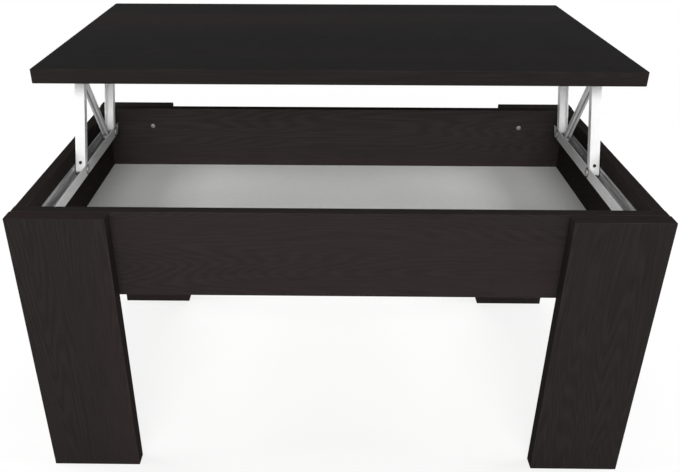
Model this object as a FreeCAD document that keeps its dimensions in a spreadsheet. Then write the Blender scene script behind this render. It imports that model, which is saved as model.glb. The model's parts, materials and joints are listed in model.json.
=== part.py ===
"""Lift-top coffee table: a storage box on slab legs, and a top that rises and moves back on parallel arms.

Millimetres, +Z up, -Y is the front. The origin is on the floor under the middle of the box.
The model stands with its top raised.
"""
import FreeCAD, Part
import Sketcher
import os

os.makedirs("parts", exist_ok=True)
doc = FreeCAD.newDocument("LiftTopTable")

# Driving sizes
SIZES = [
    ("top_length", 900, "table top, left to right"),
    ("top_depth", 500, "table top, front to back"),
    ("top_thickness", 22, "table top board"),
    ("top_round", 1.5, "rounding of the table top's edges"),
    ("top_side_overhang", 14, "closed top past the legs, at each side"),
    ("top_end_overhang", 5, "closed top past the legs, at front and back"),
    ("base_height", 428, "floor to the top of the box and legs"),
    ("leg_width", 132, "leg board, left to right"),
    ("leg_thickness", 22, "leg board, front to back"),
    ("leg_reveal", 2, "leg's side edge past the side panel"),
    ("panel_thickness", 16, "box walls"),
    ("apron_height", 129, "box walls, top to bottom"),
    ("edge_round", 1, "rounding of the legs' and box walls' edges"),
    ("bottom_thickness", 3, "floor of the box"),
    ("bottom_rise", 16, "box walls' lower edge to the floor's underside"),
    ("groove_depth", 6, "groove for the floor in the box walls"),
    ("groove_play", 0.2, "floor to groove, each way"),
    ("rail_width", 20, "base rail, over the flanges"),
    ("rail_height", 18, "rail, web to flange edge"),
    ("rail_end_gap", 14, "rail's ends to the front and rear walls"),
    ("rail_end_slope", 12, "slant of the rail's ends, over their height"),
    ("rail_gauge", 1.4, "rail steel"),
    ("rail_bend", 1.8, "rail's outer bend radius"),
    ("rail_drop", 23, "top of the box to the base rail's flange edge"),
    ("top_rail_gap", 0.6, "closed top rail to side panel"),
    ("pivot_rise", 9, "base pivot above the base rail's underside"),
    ("top_pivot_drop", 10, "top pivot below the table top"),
    ("front_pivot_forward", 4, "front base pivot, forward of the middle"),
    ("rear_pivot_inset", 21, "rear base pivot from the base rail's rear end"),
    ("top_pivot_inset", 38, "front top pivot from the top rail's front end"),
    ("arm_depth", 12, "arm, web to flange edge"),
    ("arm_gauge", 1.4, "arm steel"),
    ("arm_play", 0.2, "arm to top rail flange, each side"),
    ("arm_round", 0.5, "rounding of the arms' outer edges"),
    ("raised_angle", 66, "raised arm above the level, leaning back"),
    ("closed_gap", 0.5, "closed top above the box"),
    ("web_hole_diameter", 5.5, "hole in the front arm's web"),
    ("web_hole_reach", 10.5, "hole in the front arm's web, from the base pivot"),
    ("pin_diameter", 6, "arm pivot pins"),
    ("pin_play", 0.05, "moving part on its pin, radial"),
    ("seat_play", 0.02, "pin or screw in its seat, radial"),
    ("pin_head_diameter", 11, "arm pivot pins' heads"),
    ("pin_head_height", 1.8, "arm pivot pins' heads"),
    ("pin_head_round", 0.9, "rounding of the pins' heads"),
    ("stay_clear", 1.4, "stay channel to the front arm's flange, each side"),
    ("stay_depth", 8, "stay channel, web to flange edge"),
    ("stay_gauge", 1.2, "stay channel steel"),
    ("stay_play", 0.3, "stay bar in its channel, each side"),
    ("stay_foot_gap", 5.5, "collapsed bar's end to the foot pivot"),
    ("stay_head_gap", 6, "collapsed channel's end to the head pivot"),
    ("stay_heel", 7, "start of the stay channel's web, from the foot pivot"),
    ("eye_diameter", 8, "eye at the bar's head"),
    ("eye_play", 0.3, "eye to front arm's flange, each side"),
    ("stud_diameter", 3, "guide stud in the stay's slot"),
    ("stud_inset", 5, "guide stud from the bar's end"),
    ("stud_head_diameter", 6, "guide stud's head"),
    ("stud_head_height", 1.2, "guide stud's head"),
    ("stud_play", 0.15, "guide stud in its slot, each side"),
    ("slot_overrun", 0.5, "slot past the stud's travel"),
    ("stay_pin_diameter", 4, "stay's foot pin"),
    ("stay_pin_head_diameter", 6.5, "stay's foot pin head"),
    ("stay_pin_head_height", 0.8, "stay's foot pin head"),
    ("stay_pin_gap", 0.1, "foot pin's heads to the channel, each side"),
    ("lug_play", 0.6, "stay channel to lug, each side"),
    ("lug_foot_length", 18, "lug's foot on the rail, front to back"),
    ("lug_foot_width", 12, "lug's foot on the rail, left to right"),
    ("lug_foot_height", 1.5, "lug's foot on the rail"),
    ("leg_screw_inset", 33.5, "first leg screw from the leg's inner edge"),
    ("leg_screw_wall_gap", 6, "second leg screw from the side panel"),
    ("leg_screw_drop", 33, "leg screws below the top of the box"),
    ("leg_screw_length", 32, "leg screws, under the head"),
    ("leg_screw_diameter", 4, "leg screws"),
    ("leg_screw_head", 8, "leg screws' head diameter"),
    ("leg_dowel_rise", 31, "leg dowels above the box walls' lower edge"),
    ("leg_dowel_depth", 12, "leg dowels into each board"),
    ("dowel_diameter", 8, "dowels"),
    ("dowel_bevel", 0.8, "bevel at the dowels' ends"),
    ("corner_screw_drop", 30, "upper corner screws below the top of the box"),
    ("corner_screw_rise", 20, "lower corner screws above the floor of the box"),
    ("corner_screw_length", 47, "corner screws, under the head"),
    ("corner_screw_diameter", 5, "corner screws"),
    ("corner_screw_head", 9, "corner screws' head diameter"),
    ("corner_dowel_depth", 10, "corner dowels into the apron"),
    ("corner_dowel_tail", 20, "corner dowels into the side panel"),
    ("rail_screw_length", 13, "rail screws, under the head"),
    ("rail_screw_diameter", 3.5, "rail screws"),
    ("rail_screw_head", 7, "rail screws' head diameter"),
    ("screw_head_height", 2, "rail and leg screws' heads"),
    ("corner_head_height", 3, "corner screws' heads"),
    ("screw_head_bevel", 0.7, "bevel of the screws' heads"),
    ("rail_screw_rise", 5.5, "base rail screws above the base rail's underside"),
    ("rail_screw_inset", 28, "front base rail screw from the rail's end"),
    ("rail_screw_behind", 32, "middle base rail screw behind the front pivot"),
    ("rail_screw_spacing", 57, "middle base rail screw to the rear one"),
    ("top_screw_inset", 23, "outer top rail screws from the rail's ends"),
    ("top_screw_middle", 70, "inner top rail screws from the middle"),
]

# Places worked out from the driving sizes
PLACES = [
    ("leg_outer", "Sizes.top_length / 2 - Sizes.top_side_overhang"),
    ("leg_inner", "leg_outer - Sizes.leg_width"),
    ("leg_face", "Sizes.top_depth / 2 - Sizes.top_end_overhang"),
    ("side_face", "leg_outer - Sizes.leg_reveal"),
    ("side_inner", "side_face - Sizes.panel_thickness"),
    ("side_middle", "side_face - Sizes.panel_thickness / 2"),
    ("apron_outer", "leg_face - Sizes.leg_thickness"),
    ("apron_inner", "apron_outer - Sizes.panel_thickness"),
    ("apron_bottom", "Sizes.base_height - Sizes.apron_height"),
    ("bottom_level", "apron_bottom + Sizes.bottom_rise"),
    ("bottom_reach", "Sizes.groove_depth - Sizes.groove_play"),
    ("rail_centre", "side_inner - Sizes.rail_width / 2"),
    ("rail_end", "apron_inner - Sizes.rail_end_gap"),
    ("rail_bottom", "Sizes.base_height - Sizes.rail_drop - Sizes.rail_height"),
    ("rail_floor", "rail_bottom + Sizes.rail_gauge"),
    ("pivot_level", "rail_bottom + Sizes.pivot_rise"),
    ("front_pivot", "-Sizes.front_pivot_forward"),
    ("rear_pivot", "rail_end - Sizes.rear_pivot_inset"),
    ("top_rail_width", "Sizes.rail_width - 2 * Sizes.top_rail_gap"),
    ("arm_width", "top_rail_width - 2 * Sizes.rail_gauge - 2 * Sizes.arm_play"),
    ("arm_inner", "arm_width - 2 * Sizes.arm_gauge"),
    ("closed_rise", "Sizes.base_height + Sizes.closed_gap - Sizes.top_pivot_drop - pivot_level"),
    ("closed_reach", "front_pivot + rail_end - Sizes.top_pivot_inset"),
    ("arm_length", "sqrt(closed_reach * closed_reach + closed_rise * closed_rise)"),
    ("closed_angle", "atan(closed_rise / closed_reach) / 1 deg"),
    ("arm_back", "arm_length * cos(Sizes.raised_angle * 1 deg)"),
    ("arm_up", "arm_length * sin(Sizes.raised_angle * 1 deg)"),
    ("top_shift", "arm_back + closed_reach"),
    ("top_pivot_level", "pivot_level + arm_up"),
    ("top_underside", "top_pivot_level + Sizes.top_pivot_drop"),
    ("front_top_pivot", "front_pivot + arm_back"),
    ("rear_top_pivot", "rear_pivot + arm_back"),
    ("stay_foot", "front_pivot + arm_length"),
    ("stay_angle", "90 + Sizes.raised_angle / 2"),
    ("stay_raised", "2 * arm_length * sin(Sizes.raised_angle / 2 * 1 deg)"),
    ("stay_closed", "2 * arm_length * cos(closed_angle / 2 * 1 deg)"),
    ("stay_width", "arm_inner - 2 * Sizes.stay_clear"),
    ("stay_inner", "stay_width - 2 * Sizes.stay_gauge"),
    ("channel_length", "stay_raised - Sizes.stay_head_gap"),
    ("bar_length", "stay_raised - Sizes.stay_foot_gap"),
    ("bar_width", "stay_inner - 2 * Sizes.stay_play"),
    ("bar_depth", "Sizes.stay_depth - 2 * (Sizes.stay_gauge + Sizes.stay_play)"),
    ("stud_reach", "bar_length - Sizes.stud_inset"),
    ("slot_start", "stay_raised - stud_reach - Sizes.slot_overrun"),
    ("slot_end", "stay_closed - stud_reach + Sizes.slot_overrun"),
    ("slot_radius", "Sizes.stud_diameter / 2 + Sizes.stud_play"),
    ("lug_height", "pivot_level - rail_floor"),
    ("leg_screw_level", "Sizes.base_height - Sizes.leg_screw_drop"),
    ("leg_dowel_level", "apron_bottom + Sizes.leg_dowel_rise"),
    ("first_leg_screw", "leg_inner + Sizes.leg_screw_inset"),
    ("second_leg_screw", "side_inner - Sizes.leg_screw_wall_gap"),
    ("upper_corner_screw", "Sizes.base_height - Sizes.corner_screw_drop"),
    ("lower_corner_screw", "bottom_level + Sizes.bottom_thickness + Sizes.corner_screw_rise"),
    ("corner_dowel_level", "(upper_corner_screw + lower_corner_screw) / 2"),
    ("rail_screw_level", "rail_bottom + Sizes.rail_screw_rise"),
    ("rail_screw_seat", "side_inner - Sizes.rail_gauge"),
    ("rail_screw_front", "rail_end - Sizes.rail_screw_inset"),
    ("rail_screw_middle", "front_pivot + Sizes.rail_screw_behind"),
    ("rail_screw_rear", "rail_screw_middle + Sizes.rail_screw_spacing"),
    ("top_screw_end", "rail_end - Sizes.top_screw_inset"),
    ("top_screw_seat", "top_underside - Sizes.rail_gauge"),
]


def fill_sheet(name, rows, column_of):
    """Writes one aliased cell per row: a plain number, or a formula on the cells above."""
    sheet = doc.addObject("Spreadsheet::Sheet", name)
    for line, row in enumerate(rows, start=1):
        sheet.set(f"A{line}", row[0].replace("_", " "))
        sheet.set(f"B{line}", column_of(row))
        sheet.setAlias(f"B{line}", row[0])
    doc.recompute()
    return sheet


sizes = fill_sheet("Sizes", SIZES, lambda row: str(row[1]))
fill_sheet("Places", PLACES, lambda row: "=" + row[1])
nodes = []


def value(text):
    """The number that an expression on the sheets gives."""
    result = sizes.evalExpression(text)
    return float(getattr(result, "Value", result))


# Sketches
def new_sketch(body, name, plane, lift="0"):
    """A sketch on one of the body's own planes, lifted along that plane's normal."""
    support = [feature for feature in body.Origin.OriginFeatures if feature.Role == plane]
    sketch = body.newObject("Sketcher::SketchObject", name)
    sketch.AttachmentSupport = [(support[0], "")]
    sketch.MapMode = "FlatFace"
    sketch.setExpression("AttachmentOffset.Base.z", lift)
    return sketch


def hold(sketch, kind, line, point, text):
    """Ties a sketch point to the origin along X or Y."""
    offset = value(text)
    if offset == 0:
        axis = -2 if kind == "DistanceX" else -1
        sketch.addConstraint(Sketcher.Constraint("PointOnObject", line, point, axis))
    elif offset > 0:
        index = sketch.addConstraint(Sketcher.Constraint(kind, -1, 1, line, point, offset))
        sketch.setExpression(f"Constraints[{index}]", text)
    else:
        index = sketch.addConstraint(Sketcher.Constraint(kind, line, point, -1, 1, -offset))
        sketch.setExpression(f"Constraints[{index}]", f"-({text})")


def size_arc(sketch, arc, radius):
    """Gives a sketch arc or circle its radius."""
    index = sketch.addConstraint(Sketcher.Constraint("Radius", arc, value(radius)))
    sketch.setExpression(f"Constraints[{index}]", radius)


def draw_line(sketch, start, end):
    return sketch.addGeometry(Part.LineSegment(FreeCAD.Vector(*start, 0), FreeCAD.Vector(*end, 0)))


def draw_arc(sketch, centre, radius, start_degrees, end_degrees):
    circle = Part.Circle(FreeCAD.Vector(*centre, 0), FreeCAD.Vector(0, 0, 1), radius)
    start = FreeCAD.Units.Quantity(f"{start_degrees} deg").getValueAs("rad").Value
    end = FreeCAD.Units.Quantity(f"{end_degrees} deg").getValueAs("rad").Value
    return sketch.addGeometry(Part.ArcOfCircle(circle, start, end))


def polygon(sketch, corners):
    """A straight-sided outline whose corners are tied to the origin."""
    points = [(value(x), value(y)) for x, y in corners]
    lines = [draw_line(sketch, start, end) for start, end in zip(points, points[1:] + points[:1])]
    for line, following in zip(lines, lines[1:] + lines[:1]):
        sketch.addConstraint(Sketcher.Constraint("Coincident", line, 2, following, 1))
    for line, (x, y) in zip(lines, corners):
        hold(sketch, "DistanceX", line, 1, x)
        hold(sketch, "DistanceY", line, 1, y)


def rectangle(sketch, left, right, low, high):
    polygon(sketch, [(left, low), (right, low), (right, high), (left, high)])


def disc(sketch, across, up, diameter):
    """A circle tied to the origin."""
    radius = f"({diameter}) / 2"
    centre = FreeCAD.Vector(value(across), value(up), 0)
    circle = sketch.addGeometry(Part.Circle(centre, FreeCAD.Vector(0, 0, 1), value(radius)))
    hold(sketch, "DistanceX", circle, 3, across)
    hold(sketch, "DistanceY", circle, 3, up)
    size_arc(sketch, circle, radius)


def round_ended(sketch, start, end, radius, upright=False):
    """A round-ended outline between two centres on one sketch axis."""
    low, high, r = value(start), value(end), value(radius)
    turn = 90 if upright else 0

    def spot(along, beside):
        return (-beside, along) if upright else (along, beside)

    first = draw_arc(sketch, spot(low, 0), r, 90 + turn, 270 + turn)
    lower = draw_line(sketch, spot(low, -r), spot(high, -r))
    last = draw_arc(sketch, spot(high, 0), r, 270 + turn, 450 + turn)
    upper = draw_line(sketch, spot(high, r), spot(low, r))
    ring = [(first, 2, lower, 1), (lower, 2, last, 1), (last, 2, upper, 1), (upper, 2, first, 1)]
    for joint in ring:
        sketch.addConstraint(Sketcher.Constraint("Tangent", *joint))
    along, beside = ("DistanceY", "DistanceX") if upright else ("DistanceX", "DistanceY")
    for arc, text in ((first, start), (last, end)):
        hold(sketch, along, arc, 3, text)
        hold(sketch, beside, arc, 3, "0")
    size_arc(sketch, first, radius)


def tongue(sketch, length, radius, way=1):
    """A bar's outline from a half round about the origin to a square end, along the sketch's X axis."""
    reach, r = way * value(length), value(radius)
    nose = draw_arc(sketch, (0, 0), r, 90 * way, 90 * way + 180)
    side = draw_line(sketch, (0, -way * r), (reach, -way * r))
    end = draw_line(sketch, (reach, -way * r), (reach, way * r))
    back = draw_line(sketch, (reach, way * r), (0, way * r))
    sketch.addConstraint(Sketcher.Constraint("Tangent", nose, 2, side, 1))
    sketch.addConstraint(Sketcher.Constraint("Coincident", side, 2, end, 1))
    sketch.addConstraint(Sketcher.Constraint("Coincident", end, 2, back, 1))
    sketch.addConstraint(Sketcher.Constraint("Tangent", back, 2, nose, 1))
    sketch.addConstraint(Sketcher.Constraint("Horizontal", side))
    sketch.addConstraint(Sketcher.Constraint("Horizontal", back))
    sketch.addConstraint(Sketcher.Constraint("Vertical", end))
    sketch.addConstraint(Sketcher.Constraint("Coincident", nose, 3, -1, 1))
    size_arc(sketch, nose, radius)
    hold(sketch, "DistanceX", end, 1, length if way > 0 else f"-({length})")


# Features
def new_body(name):
    body = doc.addObject("PartDesign::Body", name)
    body.Label = name
    return body


def place(thing, x="0", y="0", z="0", turn=None, about=(1, 0, 0)):
    """Moves a body to its place, turned by an angle about one axis if one is given."""
    if turn is not None:
        axis = FreeCAD.Vector(*about)
        thing.Placement = FreeCAD.Placement(FreeCAD.Vector(), FreeCAD.Rotation(axis, value(turn)))
        thing.setExpression("Placement.Rotation.Angle", turn)
    for letter, text in zip("xyz", (x, y, z)):
        thing.setExpression(f"Placement.Base.{letter}", text)


def pad(body, name, sketch, length, both=False, reverse=False):
    """Adds the sketch's outline as material, from its plane or about it."""
    feature = body.newObject("PartDesign::Pad", name)
    feature.Profile = sketch
    feature.setExpression("Length", length)
    feature.SideType = "Symmetric" if both else "One side"
    feature.Reversed = reverse
    doc.recompute()
    return feature


def cut(body, name, sketch, depth=None, both=False, reverse=False):
    """Takes the sketch's outline out of the body, and makes sure that it did."""
    before = body.Shape.Volume
    feature = body.newObject("PartDesign::Pocket", name)
    feature.Profile = sketch
    if depth is None:
        feature.Type = "ThroughAll"
    else:
        feature.setExpression("Length", depth)
    feature.SideType = "Symmetric" if both else "One side"
    feature.Reversed = reverse
    doc.recompute()
    if body.Shape.Volume >= before:
        raise ValueError(f"{body.Label}: {name} cuts nothing")
    return feature


def drill(body, name, plane, lift, spots, diameter, depth=None, both=False, reverse=False):
    """Round holes at spots on one of the body's planes."""
    sketch = new_sketch(body, name + "_outline", plane, lift)
    for across, up in spots:
        disc(sketch, across, up, diameter)
    return cut(body, name, sketch, depth, both, reverse)


def dress_edges(body, kind, size, amount, chosen):
    """Adds a fillet or chamfer on the edges that a test picks."""
    tip = body.Tip
    names = [f"Edge{i}" for i, edge in enumerate(tip.Shape.Edges, start=1) if chosen(edge)]
    feature = body.newObject(f"PartDesign::{kind}", kind)
    feature.Base = (tip, names)
    feature.setExpression(size, amount)
    doc.recompute()


def round_edges(body, radius, chosen):
    dress_edges(body, "Fillet", "Radius", radius, chosen)


def bevel_edges(body, width, chosen):
    dress_edges(body, "Chamfer", "Size", width, chosen)


def runs_along(edge, letter):
    """Whether an edge is straight and parallel to one axis."""
    if not isinstance(edge.Curve, Part.Line):
        return False
    return abs(abs(getattr(edge.Curve.Direction, letter)) - 1) < 1e-6


def lies_at(edge, letter, place):
    """Whether an edge's middle is at a place along one axis."""
    return abs(getattr(edge.CenterOfMass, letter) - place) < 1e-6


def keep(thing, name):
    """Marks an object as one of the table's pieces."""
    thing.Label = name
    nodes.append(thing)
    return thing


def mirrored(source, name, normal):
    """The same piece on the other side of the table."""
    copy = doc.addObject("Part::Mirroring", name)
    copy.Source = source
    copy.Normal = FreeCAD.Vector(*normal)
    return copy


def group(name, pieces, front_and_back=False):
    """One node of like pieces: those given, and their mirror images."""
    half = doc.addObject("Part::Compound", name + "_one_side")
    half.Links = pieces
    if front_and_back:
        other = mirrored(half, name + "_other_end", (0, 1, 0))
        quarter_pair = doc.addObject("Part::Compound", name + "_both_ends")
        quarter_pair.Links = [half, other]
        half = quarter_pair
    across = mirrored(half, name + "_other_side", (1, 0, 0))
    whole = doc.addObject("Part::Compound", name)
    whole.Links = [half, across]
    return keep(whole, name)


def both_sides(body, name):
    """Keeps a right-hand piece and its left-hand mirror image."""
    keep(body, "right_" + name)
    keep(mirrored(body, "left_" + name, (1, 0, 0)), "left_" + name)


# Boards
def board(name, left, right, front, back, bottom, height):
    """A flat rectangular board standing on its lower face."""
    body = new_body(name)
    outline = new_sketch(body, "outline", "XY_Plane")
    rectangle(outline, left, right, front, back)
    pad(body, "board", outline, height)
    place(body, z=bottom)
    return body


def make_legs():
    """Slab legs, drilled on the face that meets the apron."""
    leg = board("front_right_leg", "Places.leg_inner", "Places.leg_outer", "-Places.leg_face",
                "-Places.apron_outer", "0", "Sizes.base_height")
    height = value("Sizes.base_height")
    round_edges(leg, "Sizes.edge_round", lambda edge: runs_along(edge, "z") or lies_at(edge, "z", height))
    columns = ("Places.first_leg_screw", "Places.second_leg_screw")
    drill(leg, "screw_pilots", "XZ_Plane", "Places.apron_outer",
          [(x, "Places.leg_screw_level") for x in columns],
          "Sizes.leg_screw_diameter + 2 * Sizes.seat_play",
          "Sizes.leg_screw_length - Sizes.panel_thickness", reverse=True)
    drill(leg, "dowel_holes", "XZ_Plane", "Places.apron_outer",
          [(x, "Places.leg_dowel_level") for x in columns],
          "Sizes.dowel_diameter + 2 * Sizes.seat_play", "Sizes.leg_dowel_depth", reverse=True)
    left = mirrored(leg, "front_left_leg", (1, 0, 0))
    keep(leg, "front_right_leg")
    keep(left, "front_left_leg")
    keep(mirrored(leg, "rear_right_leg", (0, 1, 0)), "rear_right_leg")
    keep(mirrored(left, "rear_left_leg", (0, 1, 0)), "rear_left_leg")


def make_aprons():
    """Front and rear walls of the box, with the floor's groove and the holes for legs and corners."""
    apron = board("front_apron", "-Places.side_face", "Places.side_face", "-Places.apron_outer",
                  "-Places.apron_inner", "Places.apron_bottom", "Sizes.apron_height")
    round_edges(apron, "Sizes.edge_round", lambda edge: runs_along(edge, "x"))
    groove = new_sketch(apron, "groove_outline", "XZ_Plane", "Places.apron_inner")
    rectangle(groove, "-Places.side_inner - Sizes.groove_depth", "Places.side_inner + Sizes.groove_depth",
              "Sizes.bottom_rise - Sizes.groove_play",
              "Sizes.bottom_rise + Sizes.bottom_thickness + Sizes.groove_play")
    cut(apron, "groove", groove, "Sizes.groove_depth", reverse=True)
    columns = [sign + x for x in ("Places.first_leg_screw", "Places.second_leg_screw") for sign in ("", "-")]
    ends = ("Places.side_middle", "-Places.side_middle")
    screw_rise = "Places.leg_screw_level - Places.apron_bottom"
    dowel_rise = "Places.leg_dowel_level - Places.apron_bottom"
    drill(apron, "leg_screw_holes", "XZ_Plane", "Places.apron_outer", [(x, screw_rise) for x in columns],
          "Sizes.leg_screw_diameter + 2 * Sizes.seat_play")
    drill(apron, "leg_dowel_holes", "XZ_Plane", "Places.apron_outer", [(x, dowel_rise) for x in columns],
          "Sizes.dowel_diameter + 2 * Sizes.seat_play", "Sizes.leg_dowel_depth")
    corner_spots = [(x, f"{z} - Places.apron_bottom") for x in ends
                    for z in ("Places.upper_corner_screw", "Places.lower_corner_screw")]
    drill(apron, "corner_screw_holes", "XZ_Plane", "Places.apron_outer", corner_spots,
          "Sizes.corner_screw_diameter + 2 * Sizes.seat_play")
    drill(apron, "corner_screw_heads", "XZ_Plane", "Places.apron_outer", corner_spots,
          "Sizes.corner_screw_head + 2 * Sizes.seat_play", "Sizes.corner_head_height")
    drill(apron, "corner_dowel_holes", "XZ_Plane", "Places.apron_inner",
          [(x, "Places.corner_dowel_level - Places.apron_bottom") for x in ends],
          "Sizes.dowel_diameter + 2 * Sizes.seat_play", "Sizes.corner_dowel_depth", reverse=True)
    keep(apron, "front_apron")
    keep(mirrored(apron, "rear_apron", (0, 1, 0)), "rear_apron")


def make_side_panels():
    """Side walls of the box, held between the aprons, with the base rail's pilot holes."""
    panel = board("right_side_panel", "Places.side_inner", "Places.side_face", "-Places.apron_inner",
                  "Places.apron_inner", "Places.apron_bottom", "Sizes.apron_height")
    round_edges(panel, "Sizes.edge_round", lambda edge: runs_along(edge, "y"))
    groove = new_sketch(panel, "groove_outline", "YZ_Plane", "Places.side_inner")
    rectangle(groove, "-Places.apron_outer", "Places.apron_outer", "Sizes.bottom_rise - Sizes.groove_play",
              "Sizes.bottom_rise + Sizes.bottom_thickness + Sizes.groove_play")
    cut(panel, "groove", groove, "Sizes.groove_depth", reverse=True)
    rail_rise = "Places.rail_screw_level - Places.apron_bottom"
    drill(panel, "rail_screw_pilots", "YZ_Plane", "Places.side_inner",
          [(y, rail_rise) for y in RAIL_SCREWS], "Sizes.rail_screw_diameter + 2 * Sizes.seat_play",
          "Sizes.rail_screw_length - Sizes.rail_gauge", reverse=True)
    screw_spots = [("Places.side_middle", f"{z} - Places.apron_bottom")
                   for z in ("Places.upper_corner_screw", "Places.lower_corner_screw")]
    dowel_spots = [("Places.side_middle", "Places.corner_dowel_level - Places.apron_bottom")]
    for end, face, inward in (("front", "Places.apron_inner", False), ("rear", "-Places.apron_inner", True)):
        drill(panel, end + "_screw_pilots", "XZ_Plane", face, screw_spots,
              "Sizes.corner_screw_diameter + 2 * Sizes.seat_play",
              "Sizes.corner_screw_length - Sizes.panel_thickness + Sizes.corner_head_height", reverse=inward)
        drill(panel, end + "_dowel_holes", "XZ_Plane", face, dowel_spots,
              "Sizes.dowel_diameter + 2 * Sizes.seat_play", "Sizes.corner_dowel_tail", reverse=inward)
    both_sides(panel, "side_panel")


def make_bottom_panel():
    """Thin floor of the box, held in the walls' grooves."""
    reach_x = "(Places.side_inner + Places.bottom_reach)"
    reach_y = "(Places.apron_inner + Places.bottom_reach)"
    floor = board("bottom_panel", "-" + reach_x, reach_x, "-" + reach_y, reach_y,
                  "Places.bottom_level", "Sizes.bottom_thickness")
    keep(floor, "bottom_panel")


def make_table_top():
    """The lifting board, with pilot holes for the top rails' screws."""
    top = board("table_top", "-Sizes.top_length / 2", "Sizes.top_length / 2", "-Sizes.top_depth / 2",
                "Sizes.top_depth / 2", "Places.top_underside", "Sizes.top_thickness")
    round_edges(top, "Sizes.top_round", lambda edge: True)
    drill(top, "rail_screw_pilots", "XY_Plane", "0",
          [(x, y) for x in ("Places.rail_centre", "-Places.rail_centre") for y in TOP_SCREWS],
          "Sizes.rail_screw_diameter + 2 * Sizes.seat_play",
          "Sizes.rail_screw_length - Sizes.rail_gauge", reverse=True)
    place(top, y="Places.top_shift", z="Places.top_underside")
    keep(top, "table_top")


# Lift linkage
def rail_channel(name, width, web_end, flange_end, pivot_spots):
    """A straight steel channel, open upwards, with slanting ends and pin holes through both flanges."""
    body = new_body(name)
    outline = new_sketch(body, "outline", "YZ_Plane")
    polygon(outline, [("-" + web_end, "0"), (web_end, "0"), (flange_end, "Sizes.rail_height"),
                      ("-" + flange_end, "Sizes.rail_height")])
    pad(body, "blank", outline, width, both=True)
    round_edges(body, "Sizes.rail_bend", lambda edge: runs_along(edge, "y") and lies_at(edge, "z", 0))
    hollow = new_sketch(body, "hollow_outline", "XY_Plane", "Sizes.rail_height")
    inner = f"({width} / 2 - Sizes.rail_gauge)"
    rectangle(hollow, "-" + inner, inner, "-Places.apron_inner", "Places.apron_inner")
    cut(body, "hollow", hollow, "Sizes.rail_height - Sizes.rail_gauge")
    drill(body, "pin_holes", "YZ_Plane", "0", pivot_spots,
          "Sizes.pin_diameter + 2 * Sizes.seat_play", both=True)
    return body


def make_rails():
    """Base rails on the side panels and top rails, upside down, under the table top."""
    long, short = "Places.rail_end", "(Places.rail_end - Sizes.rail_end_slope)"
    base_spots = [(y, "Sizes.pivot_rise") for y in ("Places.front_pivot", "Places.rear_pivot")]
    base = rail_channel("right_base_rail", "Sizes.rail_width", short, long, base_spots)
    drill(base, "screw_holes", "YZ_Plane", "Sizes.rail_width / 2 - Sizes.rail_gauge",
          [(y, "Sizes.rail_screw_rise") for y in RAIL_SCREWS],
          "Sizes.rail_screw_diameter + 2 * Sizes.seat_play", "Sizes.rail_gauge", reverse=True)
    place(base, x="Places.rail_centre", z="Places.rail_bottom")
    both_sides(base, "base_rail")
    top_spots = [(f"{y} - Places.top_shift", "Sizes.top_pivot_drop")
                 for y in ("Places.front_top_pivot", "Places.rear_top_pivot")]
    top = rail_channel("right_top_rail", "Places.top_rail_width", long, short, top_spots)
    drill(top, "screw_holes", "XY_Plane", "0", [("0", y) for y in TOP_SCREWS],
          "Sizes.rail_screw_diameter + 2 * Sizes.seat_play", "Sizes.rail_gauge", reverse=True)
    place(top, "Places.rail_centre", "Places.top_shift", "Places.top_underside", turn="180", about=(0, 1, 0))
    both_sides(top, "top_rail")


def make_arm(name, pivot, web_in_front):
    """A round-ended channel arm, from its base pivot to its top pivot, raised."""
    body = new_body("right_" + name)
    outline = new_sketch(body, "outline", "YZ_Plane")
    round_ended(outline, "0", "Places.arm_length", "Sizes.arm_depth / 2")
    pad(body, "blank", outline, "Places.arm_width", both=True)
    half = value("Places.arm_width") / 2
    round_edges(body, "Sizes.arm_round", lambda edge: lies_at(edge, "x", half) or lies_at(edge, "x", -half))
    web = "(Sizes.arm_depth / 2 - Sizes.arm_gauge)"
    hollow = new_sketch(body, "hollow_outline", "XY_Plane", web if web_in_front else "-" + web)
    rectangle(hollow, "-Places.arm_inner / 2", "Places.arm_inner / 2", "-Sizes.arm_depth",
              "Places.arm_length + Sizes.arm_depth")
    cut(body, "hollow", hollow, reverse=not web_in_front)
    drill(body, "pin_holes", "YZ_Plane", "0", [("0", "0"), ("Places.arm_length", "0")],
          "Sizes.pin_diameter + 2 * Sizes.pin_play", both=True)
    if web_in_front:
        drill(body, "web_hole", "XY_Plane", "0", [("0", "Sizes.web_hole_reach")],
              "Sizes.web_hole_diameter", reverse=True)
    place(body, "Places.rail_centre", pivot, "Places.pivot_level", turn="Sizes.raised_angle")
    both_sides(body, name)


def make_pin(name, width):
    """A headed pin across a rail, its head on the inner flange."""
    body = new_body(name + "_pin")
    shank = new_sketch(body, "shank_outline", "YZ_Plane")
    disc(shank, "0", "0", "Sizes.pin_diameter")
    pad(body, "shank", shank, width, both=True)
    head = new_sketch(body, "head_outline", "YZ_Plane", f"-{width} / 2")
    disc(head, "0", "0", "Sizes.pin_head_diameter")
    pad(body, "head", head, "Sizes.pin_head_height", reverse=True)
    face = -value(f"{width} / 2 + Sizes.pin_head_height")
    round_edges(body, "Sizes.pin_head_round", lambda edge: lies_at(edge, "x", face))
    return body


def make_pins():
    """Pivot pins of the arms, fixed in the rails."""
    base_width, top_width = "Sizes.rail_width", "Places.top_rail_width"
    pins = [("front_base_pins", base_width, "Places.front_pivot", "Places.pivot_level"),
            ("rear_base_pins", base_width, "Places.rear_pivot", "Places.pivot_level"),
            ("front_top_pins", top_width, "Places.front_top_pivot", "Places.top_pivot_level"),
            ("rear_top_pins", top_width, "Places.rear_top_pivot", "Places.top_pivot_level")]
    for name, width, y, z in pins:
        pin = make_pin(name, width)
        place(pin, "Places.rail_centre", y, z)
        group(name, [pin])


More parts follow.
